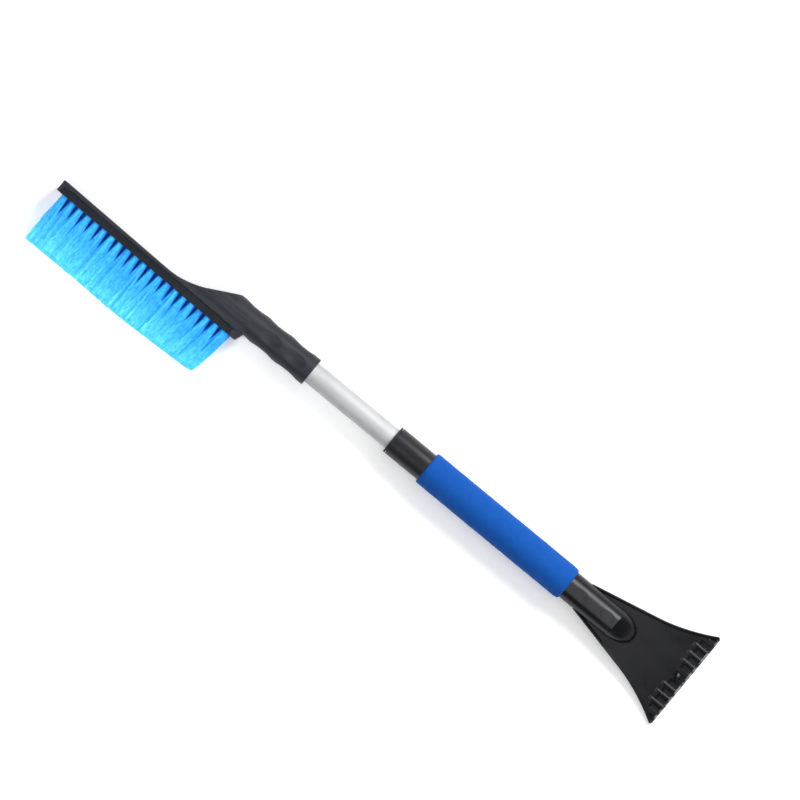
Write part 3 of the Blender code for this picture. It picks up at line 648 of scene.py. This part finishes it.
def make_hub():
    """The socket cylinder, its two thumb marks, and the steep nose that runs down to the blade."""
    sides = 128
    start = OUTER_HIGH.x + GAP
    r = OUTER_R
    rings = [hub_ring(start, r - 0.3, sides)]
    rings += [hub_ring(x, r, sides) for x in np.arange(start + 0.3, HUB_TOP_END_X, 0.6)]
    for t in np.linspace(0, 1, 40)[:-1]:
        x = HUB_TOP_END_X + (HUB_NOSE_END_X - HUB_TOP_END_X) * t
        plate_z = BLADE_ROOT_Z - (x - BLADE_START_X) * BLADE_SLOPE
        top = r * (1 - NOSE_FALL * t) * math.sqrt(1 - t ** 4)
        rings.append(nose_ring(x, r * math.sqrt(1 - t * t), plate_z * t, top, r * (1 - t), 2 + t, sides))
    return skin("hub", rings)


def make_scraper():
    start = OUTER_HIGH.x + GAP
    scraper = join(make_blade(), make_hub())
    scraper = join(scraper, rod((BLADE_LOW.x, 0, 0), (start + 5, 0, 0), TUBE_BORE_R - GAP, 96))
    scraper = cut(scraper, rod((BLADE_LOW.x - 1, 0, 0), (start + SPIGOT_BORE_DEPTH, 0, 0), SPIGOT_BORE_R, 64))
    for node in ("scraper_pin_1", "scraper_pin_2"):
        low, high = span(node)
        x = (low.x + high.x) / 2
        hole_r = (high.x - low.x) / 2 + GAP
        scraper = cut(scraper, rod((x, -PIN_CUT_REACH, 0), (x, PIN_CUT_REACH, 0), hole_r, 32))
    publish(scraper, "scraper_moulding", "handle", "scraper_blade", BLADE_PLASTIC, 28)


# Brush head

BLOCK_HALF_DEPTH = 11.0
BLOCK_TIP_X, BLOCK_RIGHT_X = HEAD_LOW.x, -166.5
BLOCK_TIP_Y, BLOCK_RIGHT_Y = -19.1, -21.6
BLOCK_END_X = -163.2
BLOCK_TOP_Y = 7.8
BLOCK_SLANT = 3.3
BLOCK_SLANT_LENGTH = 25.0
BLOCK_SLANT_TOP_Y = -12.6
BLOCK_SLANT_HEIGHT = 9.0
STRIP_THICKNESS = 7.2
RAIL_HEIGHT = 2.0
RAIL_HALF_WIDTH = 4.0
GROOVE_HEIGHT = 2.6
BACK_TIP = (BLOCK_TIP_X, -7.8)
BACK_BEND = (-254.0, -10.45)
BACK_CONTROL = (-235.5, -10.86)
BACK_RISE = (-216.0, -1.9)
BACK_PEAK = (-184.6, 15.0)
PANEL_TOP_Y = 2.0
PANEL_BACK_Y = 6.0
PANEL_LEFT_X = -258.0
PANEL_RIGHT_X = -163.6
PANEL_RISE_LENGTH = 34.0
PANEL_SLANT = 5.4
PANEL_SLANT_LENGTH = 26.0
CHEEK_FOOT_Z = 11.7
PANEL_STEP = 0.5
NECK_TAPER_START_X = -186.0
NECK_TAPER_END_X = -224.0
NECK_TAPER = 0.32
NECK_CUT_X = -232.0
SCREW_HOLE_R = 1.8
SCREW_HEAD_R = 3.6
SCREW_HEAD_DEPTH = 2.5
DIMPLES_X = (-141.5, -113.4)
DIMPLE_HALF_LENGTH = 11.9
DIMPLE_HALF_WIDTH = 6.3
DIMPLE_DEPTH = 2.3
SIDE_DIMPLE_DEPTH = 1.0
WAIST_X = -168.0


def block_bottom(x):
    return BLOCK_TIP_Y + (BLOCK_RIGHT_Y - BLOCK_TIP_Y) * (x - BLOCK_TIP_X) / (BLOCK_RIGHT_X - BLOCK_TIP_X)


def back_points(count=24):
    """The wing's back edge as points: straight, a quadratic curve, then straight up to the neck."""
    points = [BACK_TIP]
    for t in np.linspace(0, 1, count):
        a, b, c = (1 - t) ** 2, 2 * t * (1 - t), t * t
        points.append((a * BACK_BEND[0] + b * BACK_CONTROL[0] + c * BACK_RISE[0],
                       a * BACK_BEND[1] + b * BACK_CONTROL[1] + c * BACK_RISE[1]))
    return points + [BACK_PEAK]


BACK = np.array(back_points())


def back_y(x):
    return np.interp(x, BACK[:, 0], BACK[:, 1])


def make_block():
    """The bar that holds the bristle strip, and the lower part of the wing."""
    right = BLOCK_END_X

    def edges(s):
        return block_bottom(s), np.minimum(back_y(s), BLOCK_TOP_Y)

    def plan(s, t):
        low, high = edges(s)
        y = low + (high - low) * t
        slant = BLOCK_SLANT * smooth_step(s, right - BLOCK_SLANT_LENGTH, right)
        return s - slant * np.clip((BLOCK_SLANT_TOP_Y - y) / BLOCK_SLANT_HEIGHT, 0, 1), y

    def heights(x, y, s, t):
        low, high = edges(s)
        distance = np.minimum(np.minimum(y - low, high - y), np.minimum(s - BLOCK_TIP_X, right - s))
        top = round_over(np.full_like(x, BLOCK_HALF_DEPTH), np.maximum(distance, 0), 0.8)
        return top, -top

    xs = steps_between(BLOCK_TIP_X, right, 4.0, (BLOCK_TIP_X, right), 1.0, 0.16)
    xs = sorted(set(xs) | set(np.arange(-256.0, -205.0, 1.0)))
    near = np.array([0.0, 0.006, 0.014, 0.026, 0.042, 0.065, 0.095])
    ts = np.concatenate([near, np.linspace(0.13, 0.87, 15), 1 - near[::-1]])
    return slab("block", xs, ts, plan, heights)


def make_panel():
    """The cheek of the wing: level with the neck's top, then a slope down to the block, and a slanted end."""
    left, right = PANEL_LEFT_X, PANEL_RIGHT_X
    foot = STRIP_THICKNESS + 0.5

    def edges(s):
        low = block_bottom(s) + foot
        high = np.minimum(back_y(s) - 0.2, PANEL_BACK_Y)
        return low, np.maximum(high, low + 0.4)

    def plan(s, t):
        low, high = edges(s)
        y = low + (high - low) * t
        slant = PANEL_SLANT * smooth_step(s, right - PANEL_SLANT_LENGTH, right)
        return s - slant * np.clip((PANEL_TOP_Y - y) / (PANEL_TOP_Y - low), -0.3, 1), y

    def heights(x, y, s, t):
        low, high = edges(s)
        distance = np.minimum(np.minimum(y - low, high - y), np.minimum(s - left, right - s))
        crown = np.sqrt(np.maximum(NECK_R ** 2 - np.maximum(y, 0) ** 2, 0)) - 0.05
        crown = crown + PANEL_STEP * smooth_step(-y, -1.5, 1.0)
        fall = (crown - CHEEK_FOOT_Z) * smooth_step(-y, 2.5, 10.5)
        rise = 0.15 + 0.85 * smooth_step(x, left, left + PANEL_RISE_LENGTH)
        top = BLOCK_HALF_DEPTH + (crown - fall - BLOCK_HALF_DEPTH) * rise
        top = round_over(top, np.maximum(distance, 0), 0.5)
        return top, -top

    xs = steps_between(left, right, 0.9, (right,), 1.0, 0.14)
    near = np.array([0.0, 0.006, 0.014, 0.026, 0.042, 0.065])
    ts = np.concatenate([near, np.linspace(0.09, 0.91, 44), 1 - near[::-1]])
    return slab("panel", xs, ts, plan, heights)


def neck_radius(x, angle):
    """The grip neck: a cylinder with oval finger dimples on four sides, tapering away in the wing.

    The two sides have one more, WAIST_X, which top and bottom lack because the wing covers them there.
    """
    over_and_under, sides = (math.pi / 2, -math.pi / 2), (0, math.pi)
    hollows = [(station, facing, DIMPLE_DEPTH) for station in DIMPLES_X for facing in over_and_under]
    hollows += [(station, facing, SIDE_DIMPLE_DEPTH) for station in (*DIMPLES_X, WAIST_X) for facing in sides]
    radius = np.full_like(angle, NECK_R)
    for station, facing, depth in hollows:
        radius -= depth * oval(x, angle, station, facing, NECK_R, DIMPLE_HALF_LENGTH, DIMPLE_HALF_WIDTH)
    if x < NECK_TAPER_START_X:
        radius *= 1 - NECK_TAPER * (NECK_TAPER_START_X - x) / (NECK_TAPER_START_X - NECK_TAPER_END_X)
    return radius


def make_neck():
    sides = 144
    angles = np.linspace(0, 2 * math.pi, sides, endpoint=False)
    mouth = HEAD_HIGH.x
    stations = [(mouth, 0.7), (mouth - 0.12, 0.35), (mouth - 0.35, 0.12), (mouth - 0.7, 0.0)]
    stations += [(x, 0.0) for x in np.arange(mouth - 1.3, NECK_TAPER_END_X, -0.4)]
    rings = []
    for x, drop in stations:
        r = neck_radius(x, angles) - drop
        rings.append(np.stack([np.full(sides, x), r * np.cos(angles), r * np.sin(angles)], -1))
    far_x = NECK_CUT_X - 28.0
    beyond = [(x, y) for x, y in BACK if x > NECK_CUT_X]
    beyond += [(BACK_PEAK[0], CUT_REACH), (far_x, CUT_REACH), (far_x, -CUT_REACH), (NECK_CUT_X, -CUT_REACH)]
    return cut(skin("neck", rings), prism(beyond, -CUT_REACH, CUT_REACH))


def make_brush_head():
    head = join(make_block(), make_panel())
    head = join(head, make_neck())
    mouth = HEAD_HIGH.x
    head = cut(head, rod((mouth + 1, 0, 0), (mouth - 40, 0, 0), INNER_R + GAP, 96))
    x0, x1 = STRIP_LOW.x - SEAM, STRIP_HIGH.x + SEAM
    back = [block_bottom(x) + STRIP_THICKNESS for x in (x0, x1)]
    channel = [(x0, -40), (x1, -40), (x1, back[1] + SEAM), (x0, back[0] + SEAM)]
    head = cut(head, prism(channel, -CUT_REACH, CUT_REACH))
    groove = [(x0, back[0] - 1), (x1, back[1] - 1), (x1, back[1] + GROOVE_HEIGHT),
              (x0, back[0] + GROOVE_HEIGHT)]
    head = cut(head, prism(groove, -RAIL_HALF_WIDTH - GAP, RAIL_HALF_WIDTH + GAP))
    screw_x = (SCREW_LOW.x + SCREW_HIGH.x) / 2
    head = cut(head, rod((screw_x, 0, -20), (screw_x, 0, -5), SCREW_HOLE_R, 32))
    head = cut(head, rod((screw_x, 0, -20), (screw_x, 0, -NECK_R + SCREW_HEAD_DEPTH), SCREW_HEAD_R, 48))
    publish(head, "head_moulding", "brush", "brush_head", HEAD_PLASTIC, 30)


def make_bristle_strip():
    """The strip in the bar's channel, with its rail and a hole for each tuft."""
    x0, x1 = STRIP_LOW.x, STRIP_HIGH.x
    half = BLOCK_HALF_DEPTH - 0.45

    def plan(s, t):
        return s, block_bottom(s) + STRIP_THICKNESS * t

    def heights(x, y, s, t):
        distance = np.minimum(np.minimum(t, 1 - t) * STRIP_THICKNESS, np.minimum(x - x0, x1 - x))
        top = round_over(np.full_like(x, half), np.maximum(distance, 0), 0.5)
        return top, -top

    near = np.array([0.0, 0.008, 0.02, 0.04, 0.07])
    ts = np.concatenate([near, np.linspace(0.15, 0.85, 5), 1 - near[::-1]])
    strip = slab("strip", steps_between(x0, x1, 6.0, (x0, x1), 0.6, 0.12), ts, plan, heights)
    foot, top = 6.0, STRIP_THICKNESS + RAIL_HEIGHT
    rail = [(x, block_bottom(x) + lift) for x, lift in ((x0, foot), (x1, foot), (x1, top), (x0, top))]
    strip = join(strip, prism(rail, -RAIL_HALF_WIDTH, RAIL_HALF_WIDTH))
    for node in TUFT_NODES:
        low, high = span(node)
        x, z = tuft_root_x(node), ROW_Z if low.z > 0 else -ROW_Z
        hole = rod((x, block_bottom(x) - 3, z), (x, block_bottom(x) + TUFT_HOLE_DEPTH, z), TUFT_HOLE_R, 20)
        strip = cut(strip, hole)
    publish(strip, "strip_moulding", "brush", "bristle_strip", STRIP_PLASTIC)


# Bristles

TUFT_NODES = sorted(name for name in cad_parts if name.startswith("tuft_"))
UPPER_NODES = [name for name in TUFT_NODES if "upper" in name]
TUFT_FIRST_X, TUFT_LAST_X = -365.6, -178.4
FIBRES_PER_TUFT = 300
STRAYS_PER_TUFT = 5
FIBRE_RINGS = 14
STRANDS = 26
FIBRE_R = 0.17
FIBRE_REACH_Z = 15.85
TUFT_HOLE_R = 3.2
TUFT_HOLE_DEPTH = 5.0
ROOT_DEPTH = 3.0
ROW_Z = 5.5
TIP_ROW_Z = 8.0
ROOT_SPREAD = 3.0
TIP_SPREAD = 6.2
ROOT_SPREAD_Z = 2.45
TIP_SPREAD_Z = 7.3
END_FLARE = 2.2
LEFT_LEAN = 2.2
RIGHT_LEAN = 5.5
CORNER_LENGTH = 8.0

# Where the trimmed brush ends: its tips at shares of its length, its two sides at shares of a fibre.
TIP_LINE_AT = (0.0, 0.3, 0.5, 0.65, 0.85, 1.0)
TIP_LINE_Y = (-69.9, -69.9, -71.0, -70.5, -69.1, -67.8)
EDGE_LEFT_AT = (0, 0.5, 1)
EDGE_LEFT = (-370.3, -369.9, -369.3)
EDGE_RIGHT_AT = (0, 0.36, 0.57, 0.78, 0.88, 1)
EDGE_RIGHT = (-171.0, -172.9, -174.2, -176.0, -176.6, -178.8)


def tuft_root_x(node):
    pitch = (TUFT_LAST_X - TUFT_FIRST_X) / (len(UPPER_NODES) - 1)
    index = int(node.split("_")[-1]) - 1
    return TUFT_FIRST_X + pitch * (index + (0.0 if "upper" in node else 0.5))


def fibre_paths(node, rng):
    """One tuft's fibres: packed in the hole, fanning into their neighbours, crimped.

    Gives their centre lines, the shares of a fibre at which its rings stand, each fibre's own tone and how
    much painted shade each ring gets.
    """
    root_x = tuft_root_x(node)
    side = 1 if "upper" in node else -1
    share = (root_x - TUFT_FIRST_X) / (TUFT_LAST_X - TUFT_FIRST_X)
    lean = rng.normal(0.0, 0.9) + LEFT_LEAN * max(1 - share / 0.4, 0.0) - RIGHT_LEAN * max(share - 0.3, 0.0)
    root_y = float(block_bottom(root_x)) + ROOT_DEPTH
    tip_y = float(np.interp(share, TIP_LINE_AT, TIP_LINE_Y))
    count = FIBRES_PER_TUFT + STRAYS_PER_TUFT
    stray = np.arange(count) >= FIBRES_PER_TUFT
    strand = rng.integers(0, STRANDS, count)
    r = np.sqrt(rng.uniform(0, 1, STRANDS))
    a = rng.uniform(0, 2 * math.pi, STRANDS)
    root = np.stack([r * np.cos(a), r * np.sin(a)], -1)[strand] + rng.normal(0, 0.16, (count, 2))
    root /= np.maximum(1.0, np.hypot(root[:, 0], root[:, 1]))[:, None]
    tip = root + rng.normal(0, 0.26, (STRANDS, 2))[strand] + rng.normal(0, 0.07, (count, 2))
    tip[stray] += rng.normal(0, 0.5, (int(stray.sum()), 2))
    t = np.linspace(0, 1, FIBRE_RINGS)
    fan_x = ROOT_SPREAD + (TIP_SPREAD - ROOT_SPREAD) * smooth_step(t, 0.0, 0.9)
    fan_z = ROOT_SPREAD_Z + (TIP_SPREAD_Z - ROOT_SPREAD_Z) * t ** 0.8
    centre_z = side * (ROW_Z + (TIP_ROW_Z - ROW_Z) * t ** 0.8)
    spread = root[:, None, :] + (tip - root)[:, None, :] * (t ** 1.3)[None, :, None]
    across = spread[:, :, 0]
    if node == UPPER_NODES[-1]:
        across = across * np.where(across > 0, 1 + END_FLARE * smooth_step(t, 0.0, 0.08), 1.0)
    x = root_x + lean * t ** 1.6 + across * fan_x
    z = centre_z + spread[:, :, 1] * fan_z
    phase = rng.uniform(0, 2 * math.pi, (STRANDS, 2, 1))
    pace = rng.uniform(14, 30, (STRANDS, 2, 1))
    sway = rng.uniform(0.1, 0.7, (STRANDS, 2, 1)) * (t ** 1.1)
    wave = (sway * np.sin(phase + pace * t))[strand]
    own_wave = rng.uniform(0.0, 0.40, (count, 2, 1)) * t * np.sin(rng.uniform(0, 6.3, (count, 2, 1)) + 40 * t)
    x = x + wave[:, 0] + own_wave[:, 0]
    z = z + wave[:, 1] + own_wave[:, 1]
    left = np.interp(t, EDGE_LEFT_AT, EDGE_LEFT)
    right = np.interp(t, EDGE_RIGHT_AT, EDGE_RIGHT)
    x = np.where(x < left, left + (left - x) * rng.uniform(0, 0.8, (count, 1)), x)
    x = np.where(x > right, right - (x - right) * rng.uniform(0, 0.8, (count, 1)), x)
    length = 1.0 + rng.normal(0, 0.014, STRANDS)[strand] + rng.normal(0, 0.012, count)
    corner = np.clip((x[:, -1] - (EDGE_RIGHT[-1] - CORNER_LENGTH)) / CORNER_LENGTH, 0, 1.3) ** 2
    length = np.minimum(length, 1.02) - 0.020 * corner
    y = root_y + (tip_y - root_y) * t[None, :] * length[:, None]
    z = np.clip(z, FIBRE_R - FIBRE_REACH_Z, FIBRE_REACH_Z)
    own = np.clip(0.45 * rng.uniform(0, 1, STRANDS)[strand] + 0.55 * rng.uniform(0, 1, count), 0, 1)
    own[stray] = rng.uniform(0.8, 1.0, int(stray.sum()))
    # Painted shade: the lower row darkens towards its roots, the upper row at its outer sides near the roots.
    if side > 0:
        rim = np.clip(np.abs(root[:, :1]) * 1.1, 0, 1) ** 3
        shade = 0.6 * rim * (1 - smooth_step(t, 0.12, 0.40))[None, :]
    else:
        fade_start, fade_end = rng.uniform(0.12, 0.22), rng.uniform(0.40, 0.62)
        shade = np.tile(1 - smooth_step(t, fade_start, fade_end), (count, 1))
    return np.stack([x, y, z], -1), t, own, shade


def make_tuft(node, seed):
    """One tuft as a mesh of three-sided fibres, each closed at both ends."""
    rng = np.random.default_rng(seed)
    paths, t, own, shade = fibre_paths(node, rng)
    count, rings = paths.shape[:2]
    radius = FIBRE_R * (0.9 + 0.35 * t)
    spin = rng.uniform(0, 2 * math.pi, count)[:, None] + np.array([0, 2, 4]) * math.pi / 3
    offset = np.stack([np.cos(spin), np.zeros_like(spin), np.sin(spin)], -1)
    points = paths[:, :, None, :] + offset[:, None, :, :] * radius[None, :, None, None]
    points = points.reshape(-1, 3)
    ring = np.arange(count * rings).reshape(count, rings) * 3
    quads = []
    for j in range(3):
        k = (j + 1) % 3
        a = ring[:, :-1] + j
        b = ring[:, :-1] + k
        quads.append(np.stack([a, b, b + 3, a + 3], -1).reshape(-1, 4))
    quads = np.concatenate(quads)
    first, last = ring[:, 0], ring[:, -1]
    caps = np.concatenate([np.stack([first + 2, first + 1, first], -1),
                           np.stack([last, last + 1, last + 2], -1)])
    mesh = bpy.data.meshes.new(node)
    mesh.vertices.add(len(points))
    mesh.vertices.foreach_set("co", points.reshape(-1))
    corners = np.concatenate([quads.reshape(-1), caps.reshape(-1)])
    mesh.loops.add(len(corners))
    mesh.loops.foreach_set("vertex_index", corners)
    sizes = np.concatenate([np.full(len(quads), 4), np.full(len(caps), 3)])
    mesh.polygons.add(len(sizes))
    mesh.polygons.foreach_set("loop_start", np.concatenate([[0], np.cumsum(sizes)[:-1]]))
    mesh.update(calc_edges=True)
    mesh.validate()
    colours = np.zeros((count, rings, 3, 4))
    colours[..., 0] = t[None, :, None]
    colours[..., 1] = own[:, None, None]
    colours[..., 2] = shade[:, :, None]
    colours[..., 3] = 1.0
    layer = mesh.color_attributes.new("fibre", "FLOAT_COLOR", "POINT")
    layer.data.foreach_set("color", colours.reshape(-1))
    obj = bpy.data.objects.new(node, mesh)
    bpy.context.scene.collection.objects.link(obj)
    face_out(obj)
    publish(obj, node.replace("tuft_", "fibres_"), "brush", node, BRISTLE, 0)


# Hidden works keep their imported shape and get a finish

def finish_hidden_parts():
    looks = {"lock_ring": NYLON, "lock_plug": NYLON, "lock_washer": STEEL, "lock_screw": STEEL,
             "plug_pin": STEEL, "head_screw": STEEL, "scraper_pin_1": STEEL, "scraper_pin_2": STEEL}
    for name, look in looks.items():
        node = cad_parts[name]
        node.data.materials.clear()
        node.data.materials.append(look)


# Floor, light and camera

VIEW_TURN = math.radians(39.56)
VIEW_WIDTH = 0.720
KEY_PLACE = (0.30, 1.16, 1.02)
KEY_SIZE = (0.88, 0.70)
KEY_POWER = 28.5
STRIP_PLACE = (0.31, -0.35, 1.0)
STRIP_TARGET = (0.31, -0.35, 0)
STRIP_SIZE = (0.52, 1.7)
STRIP_POWER = 7.9
FILL_PLACE = (-0.50, -0.50, 0.95)
FILL_TARGET = (-0.30, -0.07, 0)
FILL_SIZE = (0.35, 0.30)
FILL_POWER = 0.35
FILL_SPREAD = math.radians(34)
ROOM_LIGHT = 0.20
FLOOR_HALF_WIDTH = 4.0
FLOOR_ALBEDO = 0.94
FLOOR_GLOW = 0.15
CAMERA_HEIGHT = 5.00
SENSOR_WIDTH = 36.0
VIEW_CENTRE = Vector((-17.2, 31.5, 0.0))


def make_floor():
    mesh = bpy.data.meshes.new("floor")
    half = FLOOR_HALF_WIDTH
    places = [(-half, -half, 0), (half, -half, 0), (half, half, 0), (-half, half, 0)]
    mesh.from_pydata(places, [], [(0, 1, 2, 3)])
    floor = bpy.data.objects.new("floor", mesh)
    bpy.context.scene.collection.objects.link(floor)
    paper = Look("white_floor", (FLOOR_ALBEDO,) * 3, 0.95,
                 Specular_IOR_Level=0.1, Emission_Strength=FLOOR_GLOW)
    paper.shader.inputs["Emission Color"].default_value = (1.0, 1.0, 1.0, 1.0)
    mesh.materials.append(paper.material)


def area_light(name, place, target, size, power, spread=math.pi):
    data = bpy.data.lights.new(name, "AREA")
    data.shape = "RECTANGLE"
    data.size, data.size_y = size
    data.energy = power
    data.spread = spread
    lamp = bpy.data.objects.new(name, data)
    bpy.context.scene.collection.objects.link(lamp)
    lamp.location = place
    lamp.rotation_euler = (Vector(target) - Vector(place)).to_track_quat("-Z", "Y").to_euler()


def make_lights():
    """A key softbox beyond the tool's back, a strip above the scraper, a little fill and a dim room."""
    area_light("key_softbox", KEY_PLACE, (0, 0, 0), KEY_SIZE, KEY_POWER)
    area_light("strip_light", STRIP_PLACE, STRIP_TARGET, STRIP_SIZE, STRIP_POWER)
    area_light("brush_fill", FILL_PLACE, FILL_TARGET, FILL_SIZE, FILL_POWER, FILL_SPREAD)
    world = bpy.data.worlds.new("room")
    bpy.context.scene.world = world
    world.use_nodes = True
    background = world.node_tree.nodes["Background"]
    background.inputs["Color"].default_value = (0.97, 0.98, 1.0, 1.0)
    background.inputs["Strength"].default_value = ROOM_LIGHT


def make_camera():
    data = bpy.data.cameras.new("camera")
    data.sensor_width = SENSOR_WIDTH
    data.lens = SENSOR_WIDTH * CAMERA_HEIGHT / VIEW_WIDTH
    data.clip_start, data.clip_end = 0.05, 20.0
    camera = bpy.data.objects.new("camera", data)
    bpy.context.scene.collection.objects.link(camera)
    aim = TO_TOOL @ VIEW_CENTRE
    camera.location = aim + Vector((0, 0, CAMERA_HEIGHT))
    camera.rotation_euler = Euler((0.0, 0.0, VIEW_TURN))
    bpy.context.scene.camera = camera
    bpy.context.scene.view_settings.view_transform = "Standard"


make_camera()
make_floor()
make_lights()
make_outer_tube()
make_guide_bush()
make_inner_tube()
make_foam_grip()
make_scraper()
make_brush_head()
make_bristle_strip()
for number, tuft_node in enumerate(TUFT_NODES):
    make_tuft(tuft_node, 100 + number)
finish_hidden_parts()


def corners(box):
    return [list(corner) for corner in box]
